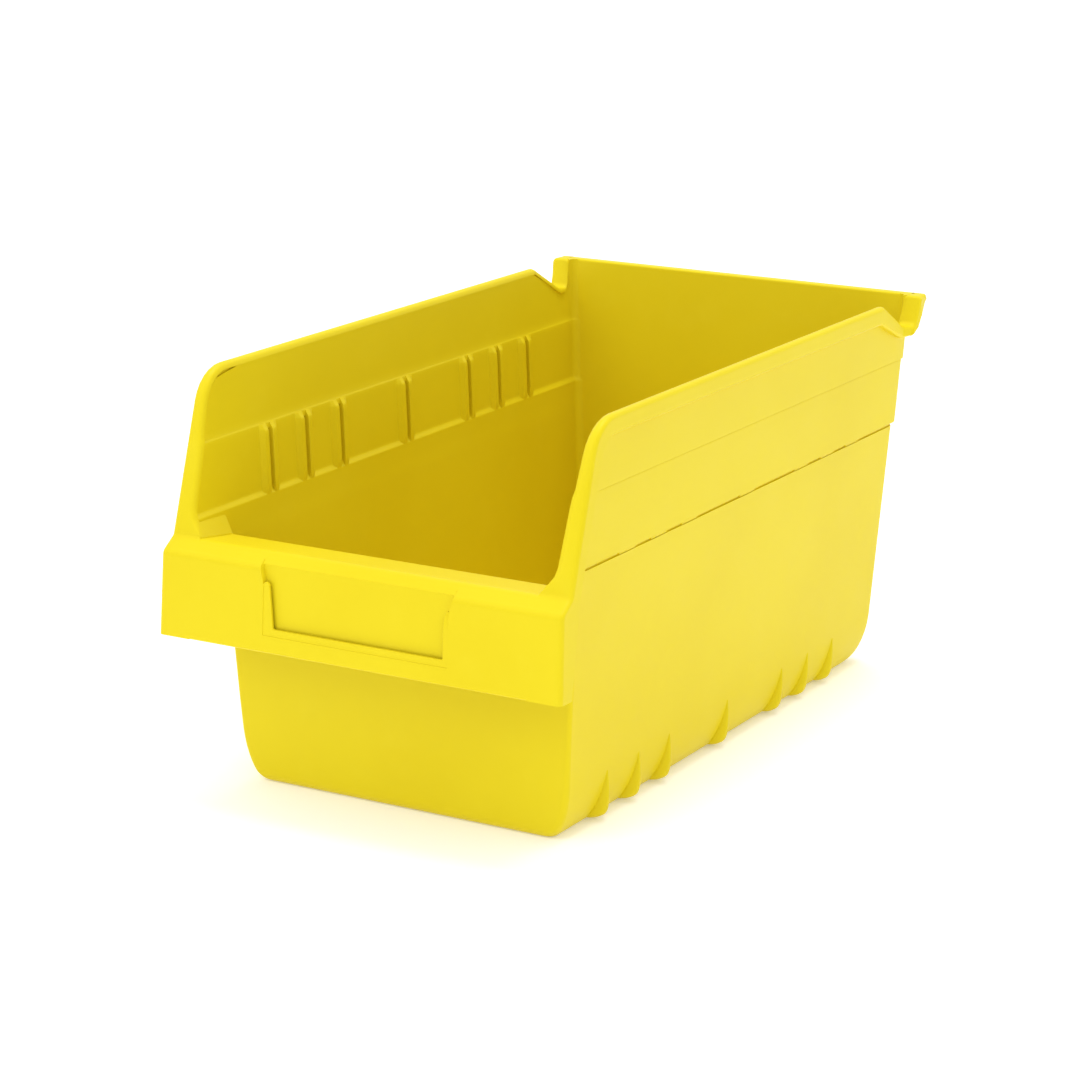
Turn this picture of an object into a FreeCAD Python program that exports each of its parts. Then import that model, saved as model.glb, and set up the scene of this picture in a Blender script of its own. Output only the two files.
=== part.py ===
"""Stackable open-front shelf bin: one moulding, held here as its named regions.

Frame: origin at the middle of the footprint, X to the right, Y to the rear,
Z up, the front opening faces -Y. Millimetres.
"""
import FreeCAD, Part
import math
import os
import re

import Sketcher

SIZES = {
    # overall
    "overallLength": 295.3,
    "overallHeight": 152.4,
    "earHalfWidth": 84.15,
    "wall": 2.2,
    "floorThickness": 2.4,
    # outer tub: foot, end of the foot curve, rim line
    "footHalfWidth": 62.8,
    "footFront": -114.4,
    "footRear": 131.5,
    "bendHeight": 20.0,
    "bendHalfWidth": 68.4,
    "bendFront": -117.6,
    "bendRear": 137.7,
    "rimFront": -124.9,
    "rimRear": 144.9,
    "cornerRadius": 4.6,
    # side bands, each stepped out over the one below
    "lowerTop": 100.4,
    "lowerTopHalfWidth": 73.6,
    "middleFootHalfWidth": 75.0,
    "middleTop": 126.5,
    "middleTopHalfWidth": 76.3,
    "upperFootHalfWidth": 76.9,
    "upperTopHalfWidth": 78.1,
    "lowerLedgeTop": 102.4,
    "lowerLedgeFall": 1.4,
    "upperLedgeTop": 127.5,
    "upperLedgeFall": 0.8,
    "ledgeEase": 0.05,
    "openReach": 20.0,
    # side outline: front slope, level rim, dip and rear ear
    "slopeFootY": -139.7,
    "slopeFootZ": 95.4,
    "slopeTopY": -122.1,
    "rimFrontRadius": 16.0,
    "rimPeakY": 111.9,
    "rimPeakRadius": 4.0,
    "dipY": 131.4,
    "dipZ": 141.6,
    "earFootY": 137.2,
    "earFootZ": 140.9,
    "earTopY": 139.5,
    # rim flange, a bead along the outside of the rim line
    "rimBackLead": 1.5,
    "flangeHalfWidth": 80.6,
    "flangeDepth": 7.0,
    # rear hanging lip and ears
    "lipDepth": 4.4,
    "earTipZ": 150.0,
    "earThroatY": 143.8,
    "earThroatZ": 146.1,
    "earNeckY": 142.6,
    "earNeckZ": 141.5,
    "earNeckHalfWidth": 83.5,
    "earHeelY": 139.9,
    "earHeelZ": 136.8,
    # front lip: a deep downward channel across the opening
    "lipBottom": 60.6,
    "lipBottomHalfWidth": 81.5,
    "lipTopHalfWidth": 80.8,
    "lipFaceTop": 90.9,
    "lipFaceTopY": -146.05,
    "lipReturnY": -139.4,
    "lipHeelY": -133.2,
    "lipHeelZ": 93.3,
    "lipHeelLead": 3.3,
    "shelfRearY": -119.4,
    "shelfRearZ": 92.6,
    # corner ramps between the lip's shelf and the side walls
    "rampFootX": 68.3,
    "rampFootDrop": 0.5,
    "rampTopZ": 101.5,
    "rampRearLead": 3.0,
    # label holder
    "labelHalfWidth": 37.2,
    "labelBottom": 67.0,
    "labelDepth": 2.0,
    "labelMouthLead": 1.5,
    "labelMouthDrop": 0.5,
    "cutMargin": 5.0,
    "stripHalfGap": 33.8,
    "stripFlare": 1.2,
    "stripSillTop": 69.4,
    "stripTop": 85.8,
    "stripThickness": 1.0,
    # divider slots and feet
    "stationPitch": 23.4,
    "stationMiddle": 4.5,
    "slotHalfWidth": 1.4,
    "ribCrest": 2.4,
    "ribFlank": 1.8,
    "ribProud": 1.1,
    "footLobeRadius": 4.6,
    "footLobeTip": 0.4,
    "footLobeInset": 0.6,
    # where the moulding is divided into its named regions
    "frontSplit": -108.0,
    "rearSplit": 132.0,
}
STATIONS = (-4, -3, -2, 0, 2, 3, 4)
FAR = 200.0
# a drawing plane: its turn, the axis it is carried along, and that direction
SIDE_PLANE = (FreeCAD.Rotation(FreeCAD.Vector(1, 1, 1), 120), "x", FreeCAD.Vector(1, 0, 0))
FRONT_PLANE = (FreeCAD.Rotation(FreeCAD.Vector(1, 0, 0), 90), "y", FreeCAD.Vector(0, 1, 0))
LEVEL_PLANE = (FreeCAD.Rotation(), "z", FreeCAD.Vector(0, 0, 1))

doc = FreeCAD.newDocument("shelf_bin")
sheet = doc.addObject("Spreadsheet::Sheet", "sizes")
for row, (alias, number) in enumerate(SIZES.items(), start=1):
    sheet.set(f"A{row}", alias)
    sheet.set(f"B{row}", str(number))
    sheet.setAlias(f"B{row}", alias)
doc.recompute()


def bound(text):
    """The expression with every size name pointed at the sheet."""
    return re.sub(r"[A-Za-z]\w*", lambda word: f"sizes.{word.group()}", str(text))


def value(text):
    """The number that an expression on the sheet comes to."""
    return float(sheet.evalExpression(bound(text)))


def between(low, high, height):
    """Size at a height on the straight line between two (height, size) pairs."""
    rise = f"(({height}) - ({low[0]})) / (({high[0]}) - ({low[0]}))"
    return f"({low[1]}) + (({high[1]}) - ({low[1]})) * {rise}"


def frontAt(height):
    """Outer face of the front wall at a height above the foot curve."""
    return between(("bendHeight", "bendFront"), ("overallHeight", "rimFront"), height)


def rearAt(height):
    """Outer face of the rear wall at a height above the foot curve."""
    return between(("bendHeight", "bendRear"), ("overallHeight", "rimRear"), height)


def lowerHalfAt(height):
    """Outer half width of the lower side walls."""
    return between(("bendHeight", "bendHalfWidth"), ("lowerTop", "lowerTopHalfWidth"), height)


def place(item, plane, text):
    """Turns an item into its drawing plane and moves it to an expression."""
    rotation, along = plane[:2]
    item.Placement = FreeCAD.Placement(FreeCAD.Vector(), rotation)
    item.setExpression(f"Placement.Base.{along}", bound(text))


def pin(sketch, kind, geometry, point, text):
    """Ties one coordinate of a sketch point to an expression."""
    index = sketch.addConstraint(Sketcher.Constraint(kind, -1, 1, geometry, point, value(text)))
    name = f"{kind}{geometry}"
    sketch.renameConstraint(index, name)
    sketch.setExpression(f"Constraints.{name}", bound(text))


def drawCorners(sketch, corners):
    """Closed straight-sided outline, each corner tied to the sheet."""
    first = sketch.GeometryCount
    points = [FreeCAD.Vector(value(across), value(up), 0) for across, up in corners]
    for start, end in zip(points, points[1:] + points[:1]):
        sketch.addGeometry(Part.LineSegment(start, end))
    count = len(points)
    for step in range(count):
        following = first + (step + 1) % count
        sketch.addConstraint(Sketcher.Constraint("Coincident", first + step, 2, following, 1))
    for step, (across, up) in enumerate(corners):
        pin(sketch, "DistanceX", first + step, 1, across)
        pin(sketch, "DistanceY", first + step, 1, up)


def prism(name, plane, outlines, start, end):
    """Outlines drawn in a plane and carried straight from start to end."""
    sketch = doc.addObject("Sketcher::SketchObject", f"{name}_sketch")
    place(sketch, plane, start)
    for corners in outlines:
        drawCorners(sketch, corners)
    solid = doc.addObject("Part::Extrusion", name)
    solid.Base = sketch
    solid.DirMode = "Custom"
    solid.Dir = plane[2]
    solid.Solid = True
    solid.setExpression("LengthFwd", bound(f"({end}) - ({start})"))
    return solid


def block(name, left, right, front, rear, bottom, top):
    """Plain box between six planes, used to divide the moulding."""
    box = doc.addObject("Part::Box", name)
    box.setExpression("Length", bound(f"({right}) - ({left})"))
    box.setExpression("Width", bound(f"({rear}) - ({front})"))
    box.setExpression("Height", bound(f"({top}) - ({bottom})"))
    box.setExpression("Placement.Base.x", bound(left))
    box.setExpression("Placement.Base.y", bound(front))
    box.setExpression("Placement.Base.z", bound(bottom))
    return box


def cut(name, base, tool):
    """Base with the tool taken away."""
    result = doc.addObject("Part::Cut", name)
    result.Base = base
    result.Tool = tool
    return result


def common(name, *shapes):
    """Space that all the shapes share."""
    result = doc.addObject("Part::MultiCommon", name)
    result.Shapes = list(shapes)
    return result


def fuse(name, *shapes):
    """All the shapes as one."""
    result = doc.addObject("Part::MultiFuse", name)
    result.Shapes = list(shapes)
    return result


def roundedSection(name, half, front, rear, height, radius):
    """Horizontal rounded rectangle, square to the axes, at a height."""
    sketch = doc.addObject("Sketcher::SketchObject", name)
    place(sketch, LEVEL_PLANE, height)
    x, low, high, r = value(half), value(front), value(rear), value(radius)
    straight = [
        ((-x + r, low), (x - r, low)),
        ((x, low + r), (x, high - r)),
        ((x - r, high), (-x + r, high)),
        ((-x, high - r), (-x, low + r)),
    ]
    centres = [(x - r, low + r), (x - r, high - r), (-x + r, high - r), (-x + r, low + r)]
    for side, (start, end) in enumerate(straight):
        sketch.addGeometry(Part.LineSegment(FreeCAD.Vector(*start, 0), FreeCAD.Vector(*end, 0)))
        circle = Part.Circle(FreeCAD.Vector(*centres[side], 0), FreeCAD.Vector(0, 0, 1), r)
        turn = math.radians(90 * (side - 1))
        sketch.addGeometry(Part.ArcOfCircle(circle, turn, turn + math.pi / 2))
    for side in range(4):
        line = 2 * side
        following = (line + 2) % 8
        sketch.addConstraint(Sketcher.Constraint("Tangent", line, 2, line + 1, 1))
        sketch.addConstraint(Sketcher.Constraint("Tangent", line + 1, 2, following, 1))
    for line, way in ((0, "Horizontal"), (2, "Vertical"), (4, "Horizontal"), (6, "Vertical")):
        sketch.addConstraint(Sketcher.Constraint(way, line))
    for arc in (3, 5, 7):
        sketch.addConstraint(Sketcher.Constraint("Equal", 1, arc))
    index = sketch.addConstraint(Sketcher.Constraint("Radius", 1, r))
    sketch.renameConstraint(index, "cornerRadius")
    sketch.setExpression("Constraints.cornerRadius", bound(radius))
    pin(sketch, "DistanceY", 0, 1, front)
    pin(sketch, "DistanceX", 2, 1, half)
    pin(sketch, "DistanceY", 4, 1, rear)
    pin(sketch, "DistanceX", 6, 1, f"-({half})")
    return sketch


def loft(name, sections):
    """Straight-ruled solid through horizontal rounded rectangles."""
    solid = doc.addObject("Part::Loft", name)
    solid.Sections = [
        roundedSection(f"{name}_section{step}", *section) for step, section in enumerate(sections)
    ]
    solid.Solid = True
    solid.Ruled = True
    return solid


def makeTub():
    """Outer levels, cavity and the shells between them."""
    inner = "cornerRadius - wall"
    lower = loft("lower_outer", [
        ("footHalfWidth", "footFront", "footRear", "0", "cornerRadius"),
        ("bendHalfWidth", "bendFront", "bendRear", "bendHeight", "cornerRadius"),
        ("lowerTopHalfWidth", frontAt("lowerTop"), rearAt("lowerTop"), "lowerTop", "cornerRadius"),
    ])
    lowerHollow = loft("lower_hollow", [
        ("footHalfWidth - wall", "footFront + wall", "footRear - wall", "floorThickness", inner),
        ("bendHalfWidth - wall", "bendFront + wall", "bendRear - wall", "bendHeight", inner),
        ("lowerTopHalfWidth - wall", f"{frontAt('lowerTop')} + wall",
         f"{rearAt('lowerTop')} - wall", "lowerTop", inner),
    ])
    middle, upper = [
        loft(f"{name}_outer", [
            (half, "-overallLength / 2 - openReach", rearAt(height), height, "cornerRadius")
            for half, height in levels
        ])
        for name, levels in (
            ("middle", (("middleFootHalfWidth", "lowerTop"), ("middleTopHalfWidth", "middleTop"))),
            ("upper", (("upperFootHalfWidth", "middleTop"),
                       ("upperTopHalfWidth", "overallHeight"))),
        )
    ]
    hollow = loft("band_hollow", [
        (half, "-overallLength / 2 - 2 * openReach", f"{rearAt(height)} - wall", height, inner)
        for half, height in (
            ("lowerTopHalfWidth - wall", "lowerTop"),
            ("lowerTopHalfWidth - wall + ledgeEase", "lowerLedgeTop - lowerLedgeFall"),
            ("middleFootHalfWidth - wall + 2 * ledgeEase", "lowerLedgeTop"),
            ("middleTopHalfWidth - wall", "upperLedgeTop - upperLedgeFall"),
            ("upperFootHalfWidth - wall + ledgeEase", "upperLedgeTop"),
            ("upperTopHalfWidth - wall", "overallHeight"),
        )
    ])
    return {
        "lower": lower,
        "upper": upper,
        "hollow": hollow,
        "lowerShell": cut("lower_shell", lower, lowerHollow),
        "middleShell": cut("middle_shell", middle, hollow),
        "upperShell": cut("upper_shell", upper, hollow),
    }


def sheetPoint(across, up):
    """Point of the side view, measured on the sheet."""
    return FreeCAD.Vector(value(across), value(up), 0)


def roundedLine(points, radii):
    """Open line through the points with its inner corners rounded."""
    edges = []
    start = points[0]
    for before, corner, after, radius in zip(points, points[1:], points[2:], radii):
        back = (before - corner).normalize()
        ahead = (after - corner).normalize()
        half = back.getAngle(ahead) / 2
        first = corner + back * (radius / math.tan(half))
        last = corner + ahead * (radius / math.tan(half))
        middle = (back + ahead).normalize()
        crest = corner + middle * (radius / math.sin(half) - radius)
        edges.append(Part.LineSegment(start, first).toShape())
        edges.append(Part.Arc(first, crest, last).toShape())
        start = last
    edges.append(Part.LineSegment(start, points[-1]).toShape())
    return edges


def sideFace(edges, corners):
    """Flat face in the side plane: a rounded line closed through more corners."""
    chain = [edges[-1].Vertexes[-1].Point, *corners, edges[0].Vertexes[0].Point]
    closing = [Part.LineSegment(start, end).toShape() for start, end in zip(chain, chain[1:])]
    face = Part.Face(Part.Wire([*edges, *closing]))
    face.Placement = FreeCAD.Placement(FreeCAD.Vector(), SIDE_PLANE[0])
    return face


def rimLine():
    """Side view of the rim: front slope, level rim, and the fall to the dip."""
    points = [
        sheetPoint("slopeFootY", "slopeFootZ"),
        sheetPoint("slopeTopY", "overallHeight"),
        sheetPoint("rimPeakY", "overallHeight"),
        sheetPoint("dipY", "dipZ"),
    ]
    return points, roundedLine(points, [value("rimFrontRadius"), value("rimPeakRadius")])


def makeRimTrim():
    """Everything below the rim line, as one solid right across the bin."""
    line = rimLine()[1]
    trim = doc.addObject("Part::Feature", "rim_trim")
    corners = [
        sheetPoint("earFootY", "earFootZ"),
        sheetPoint("earTopY", "overallHeight"),
        FreeCAD.Vector(FAR, value("overallHeight"), 0),
        FreeCAD.Vector(FAR, 0, 0),
        sheetPoint("slopeFootY", "0"),
    ]
    solid = sideFace(line, corners).extrude(FreeCAD.Vector(2 * FAR, 0, 0))
    solid.translate(FreeCAD.Vector(-FAR, 0, 0))
    trim.Shape = solid
    return trim


def makeFlangeBand():
    """Bead that follows the rim line, before the wall is taken out of it."""
    points, line = rimLine()
    depth = value("flangeDepth")
    slope = (points[1] - points[0]).normalize()
    inward = FreeCAD.Vector(slope.y, -slope.x, 0) * depth
    level = points[1].y - depth
    foot = points[0] + inward
    bend = foot + slope * ((level - foot.y) / slope.y)
    lower = roundedLine([
        foot,
        bend,
        FreeCAD.Vector(points[2].x - value("rimBackLead"), level, 0),
        sheetPoint("dipY", "earHeelZ"),
    ], [value("rimFrontRadius") - depth, value("rimPeakRadius")])
    back = [edge.reversed() for edge in reversed(lower)]
    rear = Part.LineSegment(points[3], sheetPoint("dipY", "earHeelZ")).toShape()
    front = Part.LineSegment(foot, points[0]).toShape()
    face = Part.Face(Part.Wire([*line, rear, *back, front]))
    face.Placement = FreeCAD.Placement(FreeCAD.Vector(), SIDE_PLANE[0])
    band = doc.addObject("Part::Feature", "flange_band")
    band.Shape = face.extrude(FreeCAD.Vector(value("flangeHalfWidth"), 0, 0))
    return band


def makeWalls(tub, trim):
    """Floor, front wall, rear wall and the right-hand side walls."""
    lowerShell, middleShell = tub["lowerShell"], tub["middleShell"]
    upperShell = tub["upperShell"]
    wide = (-FAR, FAR)
    pieces = {}
    slab = block("floor_zone", *wide, *wide, "0", "floorThickness")
    pieces["floor_panel"] = common("floor_panel", tub["lower"], slab)
    frontZone = block("front_zone", *wide, -FAR, "frontSplit", "floorThickness",
                      "shelfRearZ - wall")
    pieces["front_wall"] = common("front_wall", lowerShell, frontZone)
    rearZone = block("rear_zone", *wide, "rearSplit", FAR, "floorThickness", "overallHeight")
    tall = fuse("rear_levels", lowerShell, middleShell, upperShell)
    pieces["rear_wall"] = common("rear_wall", tall, rearZone, trim)
    sideZone = block("side_zone", "0", FAR, "frontSplit", "rearSplit", "floorThickness", FAR)
    pieces["lower_wall"] = common("right_lower_wall", lowerShell, sideZone)
    bandZone = block("band_zone", "0", FAR, -FAR, "rearSplit", "0", FAR)
    pieces["middle_band"] = common("right_middle_band", middleShell, bandZone, trim)
    pieces["upper_band"] = common("right_upper_band", upperShell, bandZone, trim)
    outerAtLip = lowerHalfAt("lipBottom")
    cheek = prism("cheek_plate", FRONT_PLANE, [[
        (f"{outerAtLip} - wall", "lipBottom"),
        (outerAtLip, "lipBottom"),
        ("lowerTopHalfWidth", "lowerTop"),
        ("lowerTopHalfWidth - wall", "lowerTop"),
    ]], "lipReturnY", "frontSplit")
    cheekTrimmed = common("cheek_trimmed", cheek, trim)
    pieces["cheek"] = cut("right_cheek", cheekTrimmed, pieces["front_wall"])
    return pieces


def makeSideProfile():
    """Right-hand outer faces of all three levels, carried the full length."""
    footHalf = lowerHalfAt("0")
    return prism("side_profile", FRONT_PLANE, [[
        ("0", "0"),
        (footHalf, "0"),
        ("lowerTopHalfWidth", "lowerTop"),
        ("middleFootHalfWidth", "lowerTop"),
        ("middleTopHalfWidth", "middleTop"),
        ("upperFootHalfWidth", "middleTop"),
        ("upperTopHalfWidth", "overallHeight"),
        ("0", "overallHeight"),
    ]], -FAR, FAR)


def makeRim(tub, profile):
    """Rim flange, ear and hanging lip."""
    flange = cut("right_rim_flange", makeFlangeBand(), profile)
    ear = prism("ear_side", SIDE_PLANE, [[
        ("dipY", "dipZ"),
        ("earFootY", "earFootZ"),
        ("earTopY", "overallHeight"),
        ("overallLength / 2", "overallHeight"),
        ("overallLength / 2", "earTipZ"),
        ("earThroatY", "earThroatZ"),
        ("earNeckY", "earNeckZ"),
        ("earHeelY", "earHeelZ"),
        ("dipY", "earHeelZ"),
    ]], "0", "earHalfWidth")
    flare = prism("ear_flare", FRONT_PLANE, [[
        ("upperFootHalfWidth", "middleTop"),
        ("flangeHalfWidth", "middleTop"),
        ("flangeHalfWidth", "earHeelZ"),
        ("earNeckHalfWidth", "earNeckZ"),
        ("earHalfWidth", "earThroatZ"),
        ("earHalfWidth", "overallHeight"),
        ("upperFootHalfWidth", "overallHeight"),
    ]], "0", FAR)
    earBody = common("ear_body", ear, flare)
    earTrimmed = cut("right_rear_ear", earBody, tub["upper"])
    bar = block("lip_bar", "-upperFootHalfWidth", "upperFootHalfWidth", "earTopY",
                "overallLength / 2", "overallHeight - lipDepth", "overallHeight")
    lip = cut("rear_hanging_lip", bar, tub["upper"])
    return flange, earTrimmed, lip


def makeLip(walls, profile):
    """Front lip: skin with its label recess, closed ends, ramps and label strip."""
    half = "lipBottomHalfWidth"
    skin = prism("lip_skin", SIDE_PLANE, [[
        ("-overallLength / 2", "lipBottom"),
        ("lipFaceTopY", "lipFaceTop"),
        ("slopeFootY", "slopeFootZ"),
        ("slopeFootY", "slopeFootZ - wall"),
        ("lipFaceTopY + wall", "lipFaceTop - wall / 2"),
        ("-overallLength / 2 + wall", "lipBottom"),
    ]], f"-{half}", half)
    shelfHalf = lowerHalfAt("shelfRearZ")
    shelf = prism("lip_shelf", SIDE_PLANE, [[
        ("slopeFootY", "slopeFootZ"),
        ("shelfRearY", "shelfRearZ"),
        ("shelfRearY", "shelfRearZ - wall"),
        ("slopeFootY", "slopeFootZ - wall"),
    ]], f"-({shelfHalf}) + wall", f"{shelfHalf} - wall")
    backing = prism("label_backing", SIDE_PLANE, [[
        ("-overallLength / 2 + wall", "labelBottom - wall"),
        ("lipFaceTopY + wall", "lipFaceTop - wall / 2"),
        ("slopeFootY", "slopeFootZ - wall"),
        ("slopeFootY", "slopeFootZ - wall - labelDepth"),
        ("lipFaceTopY + wall + labelDepth", "lipFaceTop - wall / 2 - labelDepth"),
        ("-overallLength / 2 + wall + labelDepth", "labelBottom - wall"),
    ]], "-labelHalfWidth - wall", "labelHalfWidth + wall")
    draft = prism("lip_draft", FRONT_PLANE, [[
        ("-lipBottomHalfWidth", "lipBottom"),
        ("lipBottomHalfWidth", "lipBottom"),
        ("lipTopHalfWidth", "slopeFootZ"),
        ("-lipTopHalfWidth", "slopeFootZ"),
    ]], -FAR, "0")
    recess = prism("label_recess", SIDE_PLANE, [[
        ("-overallLength / 2 - cutMargin", "labelBottom"),
        ("-overallLength / 2 + labelDepth", "labelBottom"),
        ("lipFaceTopY + labelDepth", "lipFaceTop - wall / 2"),
        ("slopeFootY - labelMouthLead", "slopeFootZ - labelMouthDrop"),
        ("slopeFootY - labelMouthLead", "slopeFootZ + cutMargin"),
        ("-overallLength / 2 - cutMargin", "slopeFootZ + cutMargin"),
    ]], "-labelHalfWidth", "labelHalfWidth")
    whole = fuse("lip_whole", skin, shelf, backing)
    drafted = common("lip_drafted", whole, draft)
    face = cut("front_lip", drafted, recess)
    strip = prism("label_strip_outline", FRONT_PLANE, [[
        ("-labelHalfWidth", "stripTop"),
        ("-labelHalfWidth", "labelBottom"),
        ("labelHalfWidth", "labelBottom"),
        ("labelHalfWidth", "stripTop"),
        ("stripHalfGap + stripFlare", "stripTop"),
        ("stripHalfGap", "stripSillTop"),
        ("-stripHalfGap", "stripSillTop"),
        ("-stripHalfGap - stripFlare", "stripTop"),
    ]], -FAR, "0")
    stripSlab = prism("label_strip_slab", SIDE_PLANE, [[
        ("-overallLength / 2", "lipBottom"),
        ("lipFaceTopY", "lipFaceTop"),
        ("lipFaceTopY + stripThickness", "lipFaceTop"),
        ("-overallLength / 2 + stripThickness", "lipBottom"),
    ]], f"-{half}", half)
    holder = common("label_holder", strip, stripSlab)
    end = prism("lip_end_side", SIDE_PLANE, [[
        ("-overallLength / 2", "lipBottom"),
        ("lipFaceTopY", "lipFaceTop"),
        ("slopeFootY", "slopeFootZ"),
        ("lipHeelY", "lipHeelZ"),
        ("lipReturnY", "lipBottom"),
    ]], "0", half)
    endHollow = prism("lip_end_hollow", SIDE_PLANE, [[
        ("-overallLength / 2 + wall", "lipBottom"),
        ("lipFaceTopY + wall", "lipFaceTop - wall / 2"),
        ("slopeFootY", "slopeFootZ - wall"),
        ("lipHeelY - lipHeelLead", "lipHeelZ - wall"),
        ("lipReturnY - wall", "lipBottom"),
    ]], "0", f"{half} - wall")
    outside = cut("lip_end_outside", end, profile)
    opened = cut("lip_end_opened", outside, endHollow)
    drafted = common("lip_end_drafted", opened, draft)
    lipEnd = cut("right_lip_end", drafted, skin)
    ramp = prism("ramp_outline", FRONT_PLANE, [[
        ("rampFootX", "slopeFootZ - wall"),
        ("rampFootX", "slopeFootZ - rampFootDrop"),
        ("lowerTopHalfWidth - wall / 2", "rampTopZ"),
        ("lowerTopHalfWidth - wall / 2", "slopeFootZ - wall"),
    ]], "slopeFootY", "shelfRearY - rampRearLead")
    neighbours = fuse("ramp_neighbours", walls["cheek"], walls["middle_band"], shelf, skin)
    insideWall = cut("right_corner_ramp", ramp, neighbours)
    return face, holder, lipEnd, insideWall


def stationCentre(step):
    """Place along the bin of one divider station."""
    return f"stationMiddle + stationPitch * {step}"


def makeDividerParts(tub):
    """Slot ribs inside the middle band and the lobes outside the foot curve."""
    outlines = []
    for step in STATIONS:
        centre = stationCentre(step)
        for side in ("-", "+"):
            near = f"{centre} {side} slotHalfWidth"
            crest = f"{near} {side} ribCrest"
            outlines.append([
                ("middleTopHalfWidth", near),
                ("middleFootHalfWidth - wall - ribProud", near),
                ("middleFootHalfWidth - wall - ribProud", crest),
                ("middleTopHalfWidth", f"{crest} {side} ribFlank"),
            ])
    ribs = prism("rib_outlines", LEVEL_PLANE, outlines, "lowerLedgeTop - lowerLedgeFall",
                 "upperLedgeTop - upperLedgeFall")
    ribsInside = common("right_slot_ribs", ribs, tub["hollow"])
    lobes = []
    lean = "(bendHalfWidth - footHalfWidth)"
    for number, step in enumerate(STATIONS, start=1):
        lobe = doc.addObject("Part::Cone", f"foot_lobe_{number}")
        lobe.setExpression("Radius1", bound("footLobeRadius"))
        lobe.setExpression("Radius2", bound("footLobeTip"))
        lobe.setExpression("Height", bound(f"({lean} ^ 2 + bendHeight ^ 2) ^ 0.5"))
        tilt = math.degrees(math.atan2(value(lean), value("bendHeight")))
        lobe.Placement = FreeCAD.Placement(
            FreeCAD.Vector(), FreeCAD.Rotation(FreeCAD.Vector(0, 1, 0), tilt))
        lobe.setExpression("Placement.Base.x", bound("footHalfWidth - footLobeInset"))
        lobe.setExpression("Placement.Base.y", bound(stationCentre(step)))
        lobes.append(lobe)
    aboveGround = block("lobe_zone", "0", FAR, -FAR, FAR, "0", "bendHeight")
    standing = common("lobes_standing", fuse("lobe_group", *lobes), aboveGround)
    return ribsInside, cut("right_divider_feet", standing, tub["lower"])


def mirrored(item):
    """Left-hand twin of a right-hand piece."""
    twin = doc.addObject("Part::Mirroring", item.Name.replace("right_", "left_"))
    twin.Source = item
    twin.Normal = FreeCAD.Vector(1, 0, 0)
    return twin


def checkDocument():
    """Stops if any object failed or any shape is empty or broken."""
    for item in doc.Objects:
        if "Invalid" in item.State or "Error" in item.State:
            raise RuntimeError(f"{item.Name} failed: {item.State}")
        if hasattr(item, "Shape") and (item.Shape.isNull() or not item.Shape.isValid()):
            raise RuntimeError(f"{item.Name} has a bad shape")


def build():
    """Makes every named piece, checks it and writes it."""
    tub = makeTub()
    trim = makeRimTrim()
    walls = makeWalls(tub, trim)
    profile = makeSideProfile()
    flange, ear, hangingLip = makeRim(tub, profile)
    frontLip, holder, lipEnd, ramp = makeLip(walls, profile)
    ribs, feet = makeDividerParts(tub)
    single = [walls["floor_panel"], walls["front_wall"], walls["rear_wall"],
              hangingLip, frontLip, holder]
    paired = [walls["lower_wall"], walls["middle_band"], walls["upper_band"], walls["cheek"],
              flange, ear, lipEnd, ramp, ribs, feet]
    pieces = single + paired + [mirrored(item) for item in paired]
    doc.recompute()
    checkDocument()
    os.makedirs("parts", exist_ok=True)
    for piece in pieces:
        piece.Label = piece.Name
        solids = piece.Shape.Solids
        print(f"{piece.Label}: {len(solids)} solid(s), {piece.Shape.Volume:.0f} mm3")
        piece.Shape.exportStep(os.path.join("parts", f"{piece.Label}.step"))


build()
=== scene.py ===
import math

import bmesh
import bpy
import numpy as np
from mathutils import Matrix, Vector


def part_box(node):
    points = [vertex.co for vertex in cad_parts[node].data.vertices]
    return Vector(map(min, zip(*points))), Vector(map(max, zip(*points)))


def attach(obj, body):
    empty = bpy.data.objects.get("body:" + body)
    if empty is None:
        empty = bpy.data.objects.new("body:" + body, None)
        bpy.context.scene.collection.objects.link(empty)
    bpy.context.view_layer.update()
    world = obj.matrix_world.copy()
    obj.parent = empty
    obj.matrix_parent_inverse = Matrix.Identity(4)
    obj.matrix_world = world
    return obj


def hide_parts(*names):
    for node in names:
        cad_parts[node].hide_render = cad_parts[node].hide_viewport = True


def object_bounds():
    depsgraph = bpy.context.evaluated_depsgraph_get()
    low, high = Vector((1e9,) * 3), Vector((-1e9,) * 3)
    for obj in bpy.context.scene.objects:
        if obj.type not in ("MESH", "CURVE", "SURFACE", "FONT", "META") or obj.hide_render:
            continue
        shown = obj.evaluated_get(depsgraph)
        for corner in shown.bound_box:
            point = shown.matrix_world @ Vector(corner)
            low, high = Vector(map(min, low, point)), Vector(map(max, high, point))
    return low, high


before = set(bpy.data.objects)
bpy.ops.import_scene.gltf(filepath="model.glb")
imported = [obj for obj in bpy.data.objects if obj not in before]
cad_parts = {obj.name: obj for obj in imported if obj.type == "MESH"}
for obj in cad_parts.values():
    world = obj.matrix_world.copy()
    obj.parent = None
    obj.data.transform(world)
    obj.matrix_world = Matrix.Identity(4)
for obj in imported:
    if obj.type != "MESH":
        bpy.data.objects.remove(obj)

cadLow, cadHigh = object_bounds()
mm = 0.001

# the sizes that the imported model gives, in millimetres
lipBox = [np.array(corner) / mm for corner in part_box("front_lip")]
bandBox = [np.array(corner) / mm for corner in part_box("right_upper_band")]
wallBox = [np.array(corner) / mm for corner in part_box("right_lower_wall")]
rimZ = cadHigh.z / mm
earX = cadHigh.x / mm
rearY = cadHigh.y / mm
frontY = cadLow.y / mm
lipBottom = lipBox[0][2]
lowerTop = wallBox[1][2]
bandFoot = bandBox[0][2]

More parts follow.
